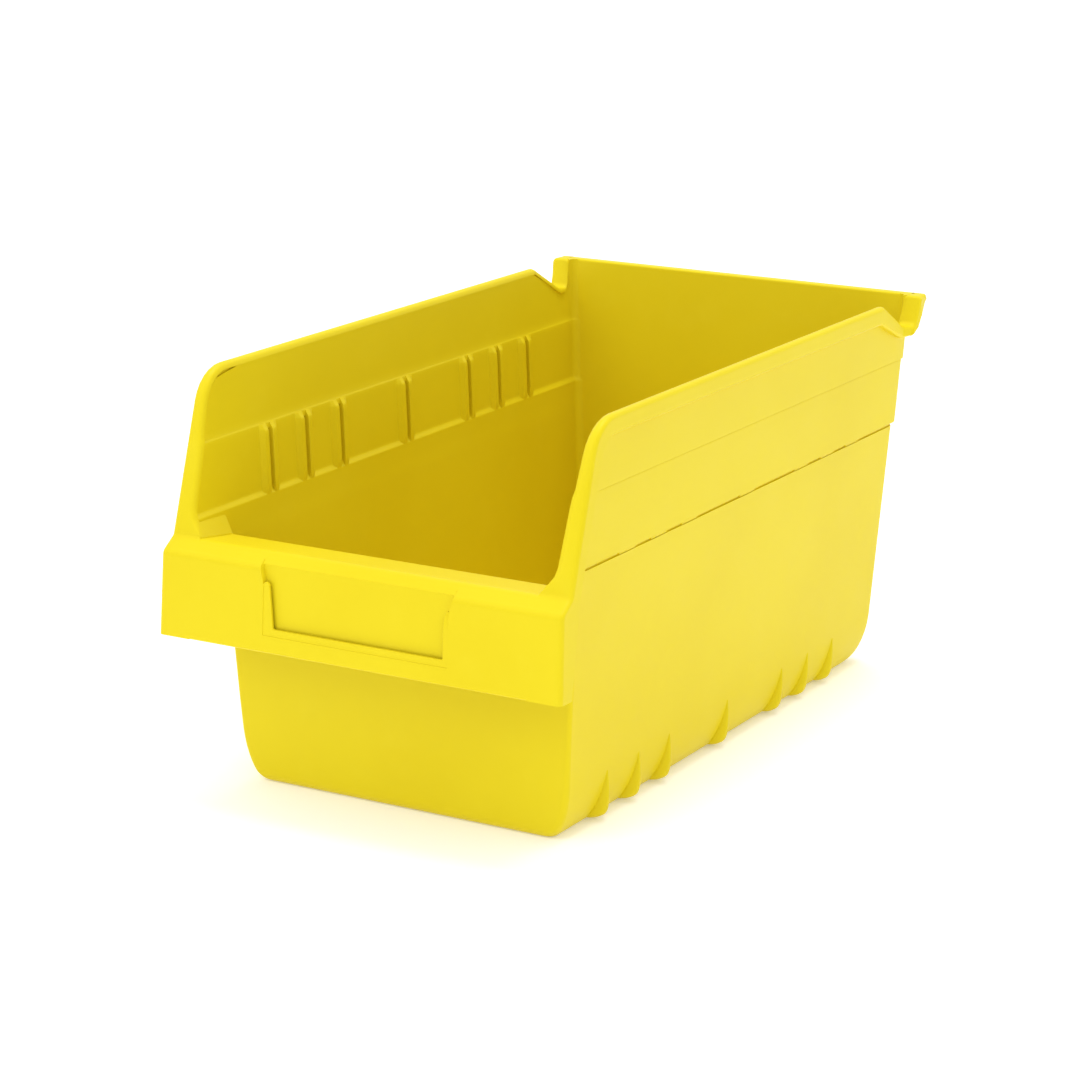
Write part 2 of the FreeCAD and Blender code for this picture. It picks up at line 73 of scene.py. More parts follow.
shell = {
    "wall": 2.2,
    "floor": 2.4,
    "bendZ": 20.0,
    "bendX": 69.0,
    "bendFront": -117.6,
    "bendRear": 137.7,
    "rimFront": -124.9,
    "rimRear": 144.9,
    "lowerTopX": 73.8,
    "rearRadius": 5.0,
    "innerRadius": 3.2,
    "frontRadius": ((0, 3.2), (14, 2.2), (30, 1.6), (152, 1.6)),
    "innerFrontRadius": 2.4,
    "footCurve": 4.6,
    "footEdge": 2.4,
    "footPower": 8,
    "frontFootRadius": 4.0,
    "joinZ": 90.5,
    "rearStep": (0.5, 0.9),
    "draw": 1.2,
    "drawFront": -118.0,
    "drawRear": 60.0,
    "drawFade": ((0, 1.0), (60, 1.0), (98, 0.0)),
}


# straight runs between (place, size) pairs
def runs(z, pairs):
    table = np.array(pairs, float)
    return np.interp(z, table[:, 0], table[:, 1])


# how far the lower walls are drawn in: growing evenly from the rear to the front, and fading out upwards
def drawIn(y, z):
    share = (shell["drawRear"] - y) / (shell["drawRear"] - shell["drawFront"])
    return shell["draw"] * np.clip(share, 0, 1) * runs(z, shell["drawFade"])


# outer half width: a straight draft above the bend, and below it a deficit of a square plus a high power
def outerX(z):
    z = np.asarray(z, float)
    draft = (shell["lowerTopX"] - shell["bendX"]) / (lowerTop - shell["bendZ"])
    turn = np.clip(1 - z / shell["bendZ"], 0, 1)
    curve = shell["footCurve"] * turn ** 2 + shell["footEdge"] * turn ** shell["footPower"]
    return shell["bendX"] + draft * (z - shell["bendZ"]) - curve


# outer face of the front wall: a straight draft with a round at its foot
def outerFront(z):
    z = np.asarray(z, float)
    draft = (shell["rimFront"] - shell["bendFront"]) / (rimZ - shell["bendZ"])
    turn = np.clip(1 - z / shell["frontFootRadius"], 0, 1)
    foot = shell["frontFootRadius"] * (1 - np.sqrt(1 - turn ** 2))
    return shell["bendFront"] + draft * (z - shell["bendZ"]) + foot


# outer face of the rear wall: a straight draft, with the side wall's foot curve
def outerRear(z):
    z = np.asarray(z, float)
    draft = (shell["rimRear"] - shell["bendRear"]) / (rimZ - shell["bendZ"])
    turn = np.clip(1 - z / shell["bendZ"], 0, 1)
    curve = shell["footCurve"] * turn ** 2 + shell["footEdge"] * turn ** shell["footPower"]
    return shell["bendRear"] + draft * (z - shell["bendZ"]) - curve


# (height, inner half width) above the floor's round, with the two ledges
innerPairs = [
    (60.0, 71.5), (100.6, 71.6), (101.2, 71.8), (101.9, 72.35), (102.4, 72.7), (102.9, 72.85),
    (126.4, 74.0), (127.0, 74.25), (127.5, 74.6), (128.0, 74.72), (rimZ, 76.5),
]


def innerX(z):
    return runs(z, innerPairs)


# inner edge of the rim: the ramp's slant below the ledge, and the wall's inner face above it
def rimInnerX(z):
    upper = [pair for pair in innerPairs if pair[0] > ramp["ledge"][0]]
    return runs(z, [(60.0, ramp["footX"]), (rim["crest"][1], ramp["footX"]), ramp["ledge"]] + upper)


# closed skin of a thick sheet: the outer grid, the inner grid, and strips that join their borders
def thickSheet(outer, inner, wrap=False, poles=False):
    rows, columns = outer.shape[:2]
    points = np.concatenate([outer.reshape(-1, 3), inner.reshape(-1, 3)])
    index = np.arange(rows * columns).reshape(rows, columns)
    if wrap:
        index = np.concatenate([index, index[:, :1]], axis=1)
    under = index + rows * columns

    def quads(a, b, c, d):
        return np.stack([a, b, c, d], axis=-1).reshape(-1, 4)

    faces = [
        quads(index[:-1, :-1], index[:-1, 1:], index[1:, 1:], index[1:, :-1]),
        quads(under[:-1, :-1], under[1:, :-1], under[1:, 1:], under[:-1, 1:]),
        quads(index[-1, :-1], index[-1, 1:], under[-1, 1:], under[-1, :-1]),
    ]
    if not poles:
        faces.append(quads(index[0, :-1], under[0, :-1], under[0, 1:], index[0, 1:]))
    if not wrap:
        faces.append(quads(index[:-1, 0], index[1:, 0], under[1:, 0], under[:-1, 0]))
        faces.append(quads(index[:-1, -1], under[:-1, -1], under[1:, -1], index[1:, -1]))
    return points, np.concatenate(faces)


# mirror image across the middle plane
def mirrored(points, faces):
    return points * np.array([-1.0, 1.0, 1.0]), faces


# several skins as one set of points and faces
def together(skins):
    starts = np.cumsum([0] + [len(points) for points, _ in skins[:-1]])
    points = np.concatenate([points for points, _ in skins])
    faces = np.concatenate([faces + start for start, (_, faces) in zip(starts, skins)])
    return points, faces


# puts a skin into a mesh in metres, merges its poles and seams, and turns each loose part outwards
def addPiece(name, skin, nodes, sharpAngle=32):
    points, faces = skin
    mesh = bpy.data.meshes.new(name)
    mesh.from_pydata((points * mm).tolist(), [], faces.tolist())
    work = bmesh.new()
    work.from_mesh(mesh)
    bmesh.ops.remove_doubles(work, verts=work.verts, dist=2e-6)
    bmesh.ops.dissolve_degenerate(work, edges=work.edges, dist=1e-6)
    bmesh.ops.recalc_face_normals(work, faces=work.faces)
    work.to_mesh(mesh)
    work.free()
    mesh.polygons.foreach_set("use_smooth", np.ones(len(mesh.polygons), bool))
    mesh.set_sharp_from_angle(angle=math.radians(sharpAngle))
    piece = bpy.data.objects.new(name, mesh)
    bpy.context.scene.collection.objects.link(piece)
    weighted = piece.modifiers.new("faceNormals", "WEIGHTED_NORMAL")
    weighted.keep_sharp = True
    piece.data.materials.append(plastic)
    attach(piece, "root")
    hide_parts(*nodes)
    print("made", name, len(mesh.polygons), "faces")
    return piece


# a line through corners, each inner corner replaced by a circular arc written as a rational quadratic
def roundedPath(corners, radii, steps, arcSteps=7):
    corners = np.array(corners, float)
    arc = np.linspace(0, 1, arcSteps)[:, None]
    runsOut = []
    start = corners[0]
    for before, corner, after, radius, step in zip(corners, corners[1:], corners[2:], radii, steps):
        back = (before - corner) / np.linalg.norm(before - corner)
        ahead = (after - corner) / np.linalg.norm(after - corner)
        half = 0.5 * math.acos(np.clip(back @ ahead, -1, 1))
        reach = radius / math.tan(half)
        first, last = corner + back * reach, corner + ahead * reach
        weight = math.sin(half)
        blend = [(1 - arc) ** 2, 2 * weight * arc * (1 - arc), arc ** 2]
        bend = (blend[0] * first + blend[1] * corner + blend[2] * last) / sum(blend)
        runsOut.append(start + (first - start) * np.linspace(0, 1, step + 1)[:-1, None])
        runsOut.append(bend[:-1])
        start = last
    runsOut.append(start + (corners[-1] - start) * np.linspace(0, 1, steps[-1] + 1)[:, None])
    return np.concatenate(runsOut)


# wraps one shader socket, so that arithmetic on it adds Math nodes
class Wire:
    def __init__(self, maker, socket):
        self.maker = maker
        self.socket = socket

    def math(self, operation, *values):
        return self.maker.node("ShaderNodeMath", {"operation": operation}, dict(enumerate(values)))

    def __add__(self, other):
        return self.math("ADD", self, other)

    def __mul__(self, other):
        return self.math("MULTIPLY", self, other)

    __radd__ = __add__
    __rmul__ = __mul__


class Maker:
    def __init__(self, name):
        self.material = bpy.data.materials.new(name)
        self.material.use_nodes = True
        self.tree = self.material.node_tree
        self.shader = self.tree.nodes["Principled BSDF"]

    # one node from its type, its settings, and the values or links of its sockets
    def node(self, kind, settings=None, sockets=None, output=0):
        made = self.tree.nodes.new(kind)
        for key, value in (settings or {}).items():
            setattr(made, key, value)
        for key, value in (sockets or {}).items():
            self.feed(made, key, value)
        return Wire(self, made.outputs[output])

    def feed(self, made, key, value):
        if isinstance(value, Wire):
            self.tree.links.new(value.socket, made.inputs[key])
        else:
            made.inputs[key].default_value = value

    # softly ramps a value from 0 at low to 1 at high
    def ramp(self, value, low, high):
        return self.node("ShaderNodeMapRange", {"interpolation_type": "SMOOTHSTEP"},
                         {"Value": value, "From Min": low, "From Max": high})

    def noise(self, position, scale, detail=3.0, roughness=0.5):
        return self.node("ShaderNodeTexNoise", {},
                         {"Vector": position, "Scale": scale, "Detail": detail, "Roughness": roughness})

    def mix(self, factor, first, second):
        return self.node("ShaderNodeMix", {"data_type": "RGBA"}, {0: factor, 6: first, 7: second}, 2)


plasticLook = {
    "body": (0.745, 0.605, 0.010, 1),
    "deep": (0.725, 0.580, 0.008, 1),
    "pale": (0.765, 0.630, 0.018, 1),
    "sheen": (1.0, 0.94, 0.62, 1),
    "specular": 0.18,
    "roughness": 0.36,
    "grain": 0.05,
    "grainDepth": 0.0004,
    "cloudScale": 14.0,
    "flowScale": 55.0,
    "grainScale": 2600.0,
    "rubStretch": (30.0, 30.0, 900.0),
    "rubRange": (0.66, 0.74),
}


# moulded polypropylene: faint flow clouds in the colour, a satin skin, a fine grain and a few hairline rubs
def makePlastic(look):
    make = Maker("binPlastic")
    position = make.node("ShaderNodeTexCoord", {}, {}, 3)
    clouds = make.noise(position, look["cloudScale"], 2.0)
    flow = make.noise(position, look["flowScale"], 4.0, 0.6)
    grain = make.noise(position, look["grainScale"], 2.0, 0.6)
    stretched = make.node("ShaderNodeMapping", {}, {"Vector": position, "Scale": look["rubStretch"]})
    rubs = make.ramp(make.noise(stretched, 1.0, 3.0, 0.7), *look["rubRange"])
    tone = make.mix(make.ramp(clouds, 0.35, 0.7), look["body"], look["deep"])
    tone = make.mix(make.ramp(flow, 0.5, 0.8) * 0.35, tone, look["pale"])
    tone = make.mix(rubs * 0.05, tone, look["pale"])
    roughness = look["roughness"] + 0.10 * flow + 0.06 * grain + 0.08 * rubs
    bump = make.node("ShaderNodeBump", {},
                     {"Strength": look["grain"], "Distance": look["grainDepth"],
                      "Height": grain + 0.4 * rubs})
    make.feed(make.shader, "Base Color", tone)
    make.feed(make.shader, "Roughness", roughness)
    make.feed(make.shader, "Normal", bump)
    make.shader.inputs["Specular IOR Level"].default_value = look["specular"]
    make.shader.inputs["Specular Tint"].default_value = look["sheen"]
    return make.material


plastic = makePlastic(plasticLook)
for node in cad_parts.values():
    node.data.materials.clear()
    node.data.materials.append(plastic)
print("material ready")

# angles in degrees, lens in millimetres, the rest in metres
camera = {
    "azimuth": 29.41,
    "elevation": 15.01,
    "roll": 0.51,
    "distance": 1.18775,
    "target": (-0.0002, -0.01788, 0.07660),
    "lens": 105.70,
}


# camera that looks at the target from its distance, turned about its own axis by the roll
def makeCamera(view):
    side, rise, roll = (math.radians(view[key]) for key in ("azimuth", "elevation", "roll"))
    back = Vector((math.sin(side) * math.cos(rise), -math.cos(side) * math.cos(rise), math.sin(rise)))
    right = Vector((math.cos(side), math.sin(side), 0))
    up = back.cross(right)
    across = right * math.cos(roll) + up * math.sin(roll)
    over = up * math.cos(roll) - right * math.sin(roll)
    data = bpy.data.cameras.new("camera")
    data.lens = view["lens"]
    data.sensor_width = 36
    data.clip_start = 0.01
    data.clip_end = 50
    made = bpy.data.objects.new("camera", data)
    made.matrix_world = Matrix((across, over, back)).transposed().to_4x4()
    made.location = Vector(view["target"]) + back * view["distance"]
    bpy.context.scene.collection.objects.link(made)
    bpy.context.scene.camera = made


makeCamera(camera)

# plan of the closed tub: columns on the four sides and corner arcs, as factors that any level can use
planSteps = {"side": 44, "end": 24, "arc": 8}


# a column is a share across (-1 to 1), a share back (0 to 1), and an offset by the corner radius
def planColumns(closed, along):
    side, end, arc = len(along) - 1, planSteps["end"], planSteps["arc"]
    cross = np.linspace(1, -1, end + 1)
    turn = np.linspace(0, math.pi / 2, arc + 1)[1:-1]
    one, none = np.ones, np.zeros
    parts = [
        (one(side + 1), along, one(side + 1), none(side + 1)),
        (one(arc - 1), one(arc - 1), np.cos(turn), np.sin(turn)),
        (cross, one(end + 1), none(end + 1), one(end + 1)),
        (-one(arc - 1), one(arc - 1), -np.sin(turn), np.cos(turn)),
        (-one(side + 1), along[::-1], -one(side + 1), none(side + 1)),
    ]
    if closed:
        parts += [
            (-one(arc - 1), none(arc - 1), -np.cos(turn), -np.sin(turn)),
            (cross[::-1], none(end + 1), none(end + 1), -one(end + 1)),
            (one(arc - 1), none(arc - 1), np.sin(turn), -np.cos(turn)),
        ]
    return [np.concatenate(values) for values in zip(*parts)]


# each level is a rounded rectangle, shrunk about its middle by a share that is 0 at the pole
def levels(z, halfX, front, rear, frontRadius, rearRadius, share):
    across, back, offX, offY = planColumns(True, np.linspace(0, 1, planSteps["side"] + 1))
    z, halfX, front, rear, share, frontRadius = (
        np.asarray(v, float)[:, None] for v in (z, halfX, front, rear, share, frontRadius + 0 * z))
    radius = np.where(offY < 0, frontRadius, rearRadius)
    x = across * (halfX - radius) + offX * radius
    start = front + frontRadius
    y = start + back * (rear - rearRadius - start) + offY * radius
    x = x * (1 - drawIn(y, z) / halfX)
    middle = (front + rear) / 2
    grid = [x * share, middle + (y - middle) * share, z + 0 * x]
    return np.stack(grid, axis=-1)


# the tub's levels: shares of the flat bottom, and heights that bunch up towards the foot curve
tub = {
    "flat": (0, 0.45, 0.85, 0.975),
    "outerRise": (0, .12, .35, .75, 1.4, 2.3, 3.4, 5, 7, 9.5, 12.5, 16, 20, 32, 46, 60, 75),
    "innerRise": (0, .1, .4, .9, 1.6, 2.5, 3.6, 5, 7, 9.5, 12.5, 16, 20, 32, 46, 60, 75),
    "floorRound": 3.2,
    "roundRise": 5.0,
    "roundPower": 2.4,
}


# closed tub up to the join: the outer skin on the drafts, the inner one a wall's thickness inside it
def makeTub():
    flat, rise, lift = (np.array(tub[key]) for key in ("flat", "outerRise", "innerRise"))
    z = np.concatenate([flat * 0, rise, [shell["joinZ"]]])
    share = np.concatenate([flat, np.ones(len(rise) + 1)])
    outer = levels(z, outerX(z), outerFront(z), outerRear(z), runs(z, shell["frontRadius"]),
                   shell["rearRadius"], share)
    up = np.concatenate([flat * 0, lift])
    z = np.concatenate([shell["floor"] + up * (1 - shell["floor"] / shell["joinZ"]), [shell["joinZ"]]])
    turn = np.clip(1 - (z - shell["floor"]) / tub["roundRise"], 0, 1)
    inset = tub["floorRound"] * turn ** tub["roundPower"]
    inner = levels(z, outerX(z) - shell["wall"] - inset, outerFront(z) + shell["wall"] + inset,
                   outerRear(z) - shell["wall"] - inset, shell["innerFrontRadius"],
                   shell["innerRadius"], share)
    return thickSheet(outer, inner, wrap=True, poles=True)


ramp = {
    "footX": 68.3,
    "topX": 72.9,
    "topZ": 102.2,
    "ledge": (101.9, 72.5),
    "frontLap": 1.047,
    "nose": 0.5,
    "noseStart": 0.93,
}

# the rim's corners in the side view as (y, z), and the sizes of its section
rim = {
    "faceTop": (-146.05, 90.9),
    "crest": (-139.7, 95.4),
    "slopeTop": (-122.1, 152.4),
    "peak": (111.9, 152.4),
    "dip": (131.4, 141.6),
    "earTop": (139.5, 152.4),
    "lipX": (81.5, 80.8),
    "rimX": 80.6,
    "edge": 1.7,
    "innerEdge": 2.0,
    "seam": 2.2,
    "hollow": 2.2,
    "tuck": 0.5,
    "edgeShare": 0.35,
    "innerShare": 0.3,
    "seamShare": 0.5,
    "closing": (95.5, 101.0),
    "underWall": 0.6,
    "coreX": 1.0,
    "coreStart": 0.3,
    "coreEnd": 1.1,
}

# rim outline as (y, z, outer x): lip face, crest, slope, level, dip, ear
rimCorners = [
    (frontY, lipBottom, rim["lipX"][0]),
    (*rim["faceTop"], rim["lipX"][1]),
    (*rim["crest"], rim["rimX"] + 0.1),
    (*rim["slopeTop"], rim["rimX"]),
    (*rim["peak"], rim["rimX"]),
    (*rim["dip"], rim["rimX"]),
    (137.2, 140.9, 83.0),
    (138.4, 146.5, 83.6),
    (*rim["earTop"], earX - 0.1),
    (rearY, rimZ, earX - 1.1),
    (rearY, rimZ - 1.8, earX - 1.1),
]
rimRadii = [3.0, 2.6, 16.0, 4.0, 2.5, 2.2, 1.0, 1.3, 1.0]

# where the rim's outer face ends, corner for corner with the outline, as (y, z)
heelCorners = [
    (-139.4, lipBottom), (-134.0, 89.0), (-133.0, 93.3), (-116.9, 145.4), (110.1, 145.4),
    (131.0, 136.7), (135.5, 137.1), (139.3, 139.4), (141.6, 144.0), (146.2, 149.0), (rearY, 150.0),
]
heelRadii = [0.5, 1.0, 9.0, 2.0, 1.2, 1.0, 1.0, 0.8, 0.3]

# columns along each straight run of both lines
rimSteps = [10, 4, 16, 60, 8, 4, 3, 3, 4, 2]
rimLine = roundedPath(rimCorners, rimRadii, rimSteps)
heelLine = roundedPath(heelCorners, heelRadii, rimSteps)


# rises softly from 0 at low to 1 at high, as 3 t squared less 2 t cubed
def smooth(value, low, high):
    t = np.clip((value - low) / (high - low), 0, 1)
    return t * t * (3 - 2 * t)


# the rim's section, from the inner seam over the top and down the outside, carried along the outline;
# each section row is an offset from the wall or the outer face, and a depth towards the heel line
def makeRim():
    top, outX = rimLine[:, :2], rimLine[:, 2]
    depth = np.linalg.norm(heelLine - top, axis=1)
    down = (heelLine - top) / depth[:, None]
    above = smooth(top[:, 1], *rim["closing"])
    edge = np.minimum(rim["edge"], depth * rim["edgeShare"])
    inner = np.minimum(rim["innerEdge"] * above, depth * rim["innerShare"])
    seam = np.minimum(rim["seam"], depth * rim["seamShare"])
    rows = [(0 * inner, seam, "wall")]
    for angle in np.radians([0, 30, 60, 90]):
        rows.append((inner * (1 - np.cos(angle)), inner * (1 - np.sin(angle)), "wall"))
    rows.append((None, 0 * edge, "middle"))
    for angle in np.radians([90, 67.5, 45, 22.5, 0]):
        rows.append((edge * (1 - np.cos(angle)), edge * (1 - np.sin(angle)), "out"))
    rows.append((0 * edge, depth - edge * 0.5, "out"))
    rows.append((edge * 0.5, depth, "out"))
    rows.append((None, depth, "inside"))
    outer = np.zeros((len(rows), len(top), 3))
    for row, (offset, deep, kind) in enumerate(rows):
        y = top[:, 0] + down[:, 0] * deep
        z = top[:, 1] + down[:, 1] * deep
        wallX = rimInnerX(z)
        if kind == "wall":
            x = wallX + offset
        elif kind == "out":
            x = outX - offset
        elif kind == "middle":
            x = (wallX + outX) / 2
        else:
            low = outerX(z) - drawIn(y, z) - rim["tuck"]
            inWall = innerX(z) + shell["wall"] * rim["underWall"]
            x = np.where(z < lowerTop, np.minimum(low, inWall), inWall)
        outer[row] = np.stack([x, y, z], axis=1)
    # the hidden skin is a thin core above the crest, and opens into a channel inside the lip's end
    hidden = np.zeros_like(outer)
    shares = np.linspace(0, 1, len(rows))
    opening = 1 - above
    hollowX = np.concatenate([np.linspace(0, 1, 6), np.ones(len(rows) - 7), [0.4]])
    hollowD = np.concatenate([np.zeros(7), np.linspace(0, 1, len(rows) - 9), [1, 1]])
    for row in range(len(rows)):
        deepSolid = seam + rim["coreStart"] + (depth - seam - rim["coreEnd"]) * shares[row]
        deepHollow = rim["hollow"] + (depth - 2 * rim["hollow"]) * hollowD[row]
        deep = deepSolid + (deepHollow - deepSolid) * opening
        y = top[:, 0] + down[:, 0] * deep
        z = top[:, 1] + down[:, 1] * deep
        wallX = rimInnerX(z)
        xSolid = wallX + rim["coreX"]
        xHollow = wallX + (outX - rim["hollow"] - wallX) * hollowX[row]
        hidden[row] = np.stack([xSolid + (xHollow - xSolid) * opening, y, z], axis=1)
    return thickSheet(outer, hidden)


# the outer skin's levels as (height, half width, rear face's step out), with an undercut below each band
wallPlan = {
    "front": -97.0,
    "rear": 124.0,
    "reach": 140.0,
    "slotDepth": 1.25,
    "slotRange": (103.45, 124.55),
    "slotEdge": 0.15,
    "slotColumns": (-1.58, -1.36, 1.36, 1.58),
    "slotUnit": 1.4,
    "frontSeamFrom": 97.0,
    "rearSeamTo": 142.0,
    "levelFrom": -90.0,
    "arcDrop": 0.04,
    "outer": [
        (shell["joinZ"], float(outerX(shell["joinZ"])), 0),
        (95, float(outerX(95)), 0),
        (lowerTop - 1.5, 73.7, 0),
        (lowerTop - 1.4, 73.0, -0.4),
        (lowerTop, 72.9, -0.35),
        (lowerTop + .05, 74.75, shell["rearStep"][0]),
        (lowerTop + .3, 75.0, shell["rearStep"][0]),
        (108, 75.38, shell["rearStep"][0]),
        (117, 75.83, shell["rearStep"][0]),
        (bandFoot - .5, 76.28, shell["rearStep"][0]),
        (bandFoot - .2, 76.12, 0.25),
        (bandFoot, 76.15, 0.3),
        (bandFoot + .05, 76.7, shell["rearStep"][1]),
        (bandFoot + .2, 76.9, shell["rearStep"][1]),
    ],
    "bandTopX": 78.1,
    "innerTop": 127.5,
}


# shares along the side for the U-shaped walls: fanned at both ends, with columns at every slot edge
def wallShares(centres):
    reach, edges = wallPlan["reach"], np.array(wallPlan["slotColumns"])
    marks = [np.linspace(-reach, wallPlan["front"], 10), np.linspace(wallPlan["rear"], reach, 17)]
    marks += [centre + edges * stations["halfGroove"] / wallPlan["slotUnit"] for centre in centres]
    marks += [np.linspace(-92, 119, 24)]
    return (np.unique(np.concatenate(marks)) + reach) / (2 * reach)


# U-shaped walls above the join: height levels up to the upper band, then shares of the way to the rim
def makeWalls():
    centres = stations["middle"] + stations["pitch"] * np.array(stations["places"])
    across, back, offX, offY = planColumns(False, wallShares(centres))
    mark = back * 2 * wallPlan["reach"] - wallPlan["reach"]
    depth = np.linalg.norm(heelLine - rimLine[:, :2], axis=1)[:, None]
    down = np.minimum(rim["seam"], depth * rim["seamShare"])
    seam = rimLine[:, :2] + (heelLine - rimLine[:, :2]) / depth * down
    levelFrom = wallPlan["levelFrom"]
    frontSeam = seam[(seam[:, 0] < 0) & (rimLine[:, 1] > wallPlan["frontSeamFrom"])]
    frontSeam = frontSeam[np.argsort(frontSeam[:, 1], kind="stable")]
    rearSeam = seam[(seam[:, 0] > levelFrom) & (seam[:, 0] < wallPlan["rearSeamTo"])]
    rearTop = rimLine[(rimLine[:, 0] > levelFrom) & (rimLine[:, 0] < rearY - 1)]
    topZ = rimZ - rim["seam"]

    # one skin: the plan at each level's size, its front end on the rim's seam and its top on the rim's crown
    def sheetOf(z, halfX, rear, radius, rowShare):
        z, halfX, rear, share = (np.asarray(v, float)[:, None] for v in (z, halfX, rear, rowShare))
        begin = np.where(z > frontSeam[0, 1], np.interp(z, frontSeam[:, 1], frontSeam[:, 0]),
                         rim["crest"][0] + rim["seam"] + 0.1)
        fan = (mark + wallPlan["reach"]) / (wallPlan["front"] + wallPlan["reach"])
        tail = (mark - wallPlan["rear"]) / (wallPlan["reach"] - wallPlan["rear"])
        y = np.where(mark < wallPlan["front"], begin + fan * (wallPlan["front"] - begin), mark)
        y = np.where(mark > wallPlan["rear"], wallPlan["rear"] + tail * (rear - radius - wallPlan["rear"]), y)
        y = y + offY * radius
        x = across * (halfX - radius) + offX * radius
        x = x * (1 - drawIn(y, z) / halfX)
        sideTop = np.where(y < levelFrom, topZ, np.interp(y, rearSeam[:, 0], rearSeam[:, 1]))
        arcTop = np.interp(y, rearTop[:, 0], rearTop[:, 1]) - wallPlan["arcDrop"]
        onSide = np.abs(offX) > 0.999
        onRear = np.abs(offY) > 0.999
        crown = np.where(onSide, sideTop, np.where(onRear, topZ, arcTop))
        base = z[share[:, 0] == 0][-1, 0]
        height = np.where(share > 0, base + share * (crown - base), z)
        return np.stack([x, y, height + 0 * x], axis=-1)

    shares = np.linspace(0, 1, 11)[1:]
    low, lowX, lowStep = np.array(wallPlan["outer"], float).T
    rise = low[-1] + shares * (topZ - low[-1])
    z = np.concatenate([low, rise])
    bandRise = (rise - bandFoot) / (rimZ - bandFoot)
    x = np.concatenate([lowX, lowX[-1] + (wallPlan["bandTopX"] - lowX[-1]) * bandRise])
    step = np.concatenate([lowStep, np.full(len(rise), shell["rearStep"][1])])
    rowShare = np.concatenate([np.zeros(len(low)), shares])
    outer = sheetOf(z, x, outerRear(z) + step, shell["rearRadius"], rowShare)
    (slotLow, slotHigh), slotEdge = wallPlan["slotRange"], wallPlan["slotEdge"]
    low = np.array([shell["joinZ"], 96, 100.6, 101.2, 101.9, 102.4, 102.9,
                    slotLow - slotEdge, slotLow + slotEdge, slotHigh - slotEdge, slotHigh + slotEdge,
                    126.4, 127.0, wallPlan["innerTop"]])
    rise = wallPlan["innerTop"] + shares * (topZ - wallPlan["innerTop"])
    z = np.concatenate([low, rise])
    x = innerX(z)
    x[0] = float(outerX(shell["joinZ"])) - shell["wall"]
    inner = sheetOf(z, x, outerRear(z) - shell["wall"], shell["innerRadius"], rowShare)
    near = np.min(np.abs(inner[..., 1, None] - centres), axis=-1) < stations["halfGroove"]
    sunk = near & (np.abs(offX) > 0.999) & (inner[..., 2] > slotLow) & (inner[..., 2] < slotHigh)
    inner[..., 0] += np.sign(inner[..., 0]) * wallPlan["slotDepth"] * sunk
    return thickSheet(outer, inner)


cheek = {"steps": 9, "lap": 0.8, "thick": 1.7, "heelPoints": 20}


# flat cheek beside the front wall: the side wall's plane carried forward to the lip's return
def makeCheek():
    z = np.linspace(lipBottom, shell["joinZ"], cheek["steps"])[:, None]
    heel = heelLine[:cheek["heelPoints"]]
    heelY = np.interp(z, heel[:, 1], heel[:, 0]) - cheek["lap"]
    back = outerFront(z) + runs(z, shell["frontRadius"])
    y = heelY + np.linspace(0, 1, cheek["steps"]) * (back - heelY)
    grids = [np.stack([outerX(z) - drawIn(y, z) - inset, y, z + 0 * y], axis=-1)
             for inset in (0, cheek["thick"])]
    return thickSheet(grids[0], grids[1])


lip = {
    "halfX": 68.3,
    "shelfRear": (-119.4, 92.6),
    "thick": 2.2,
    "recessHalf": 37.2,
    "recessFlare": 1.6,
    "recessFoot": 67.0,
    "recessDepth": 2.0,
    "recessEdge": 0.12,
    "recessMargin": 0.6,
    "footEdge": 0.15,
    "corner": 0.5,
    "flareRange": (84, 93),
    "flareFade": 22,
    "lean": 0.053,
    "radii": (0.1, 0.01, 0.01, 3.0, 3.0, 0.9),
    "innerRadii": (0.1, 0.01, 0.01, 1.0, 0.8, 0.1),
    "steps": (1, 2, 1, 8, 2, 6, 1),
}


# lip's front face: straight from the bottom edge to the top of the face, and on upwards with its lean
def faceY(z):
    faceTop, topZ = rim["faceTop"]
    above = np.clip(z - topZ, 0, None)
    return np.interp(z, [lipBottom, topZ], [frontY, faceTop]) + above * lip["lean"]


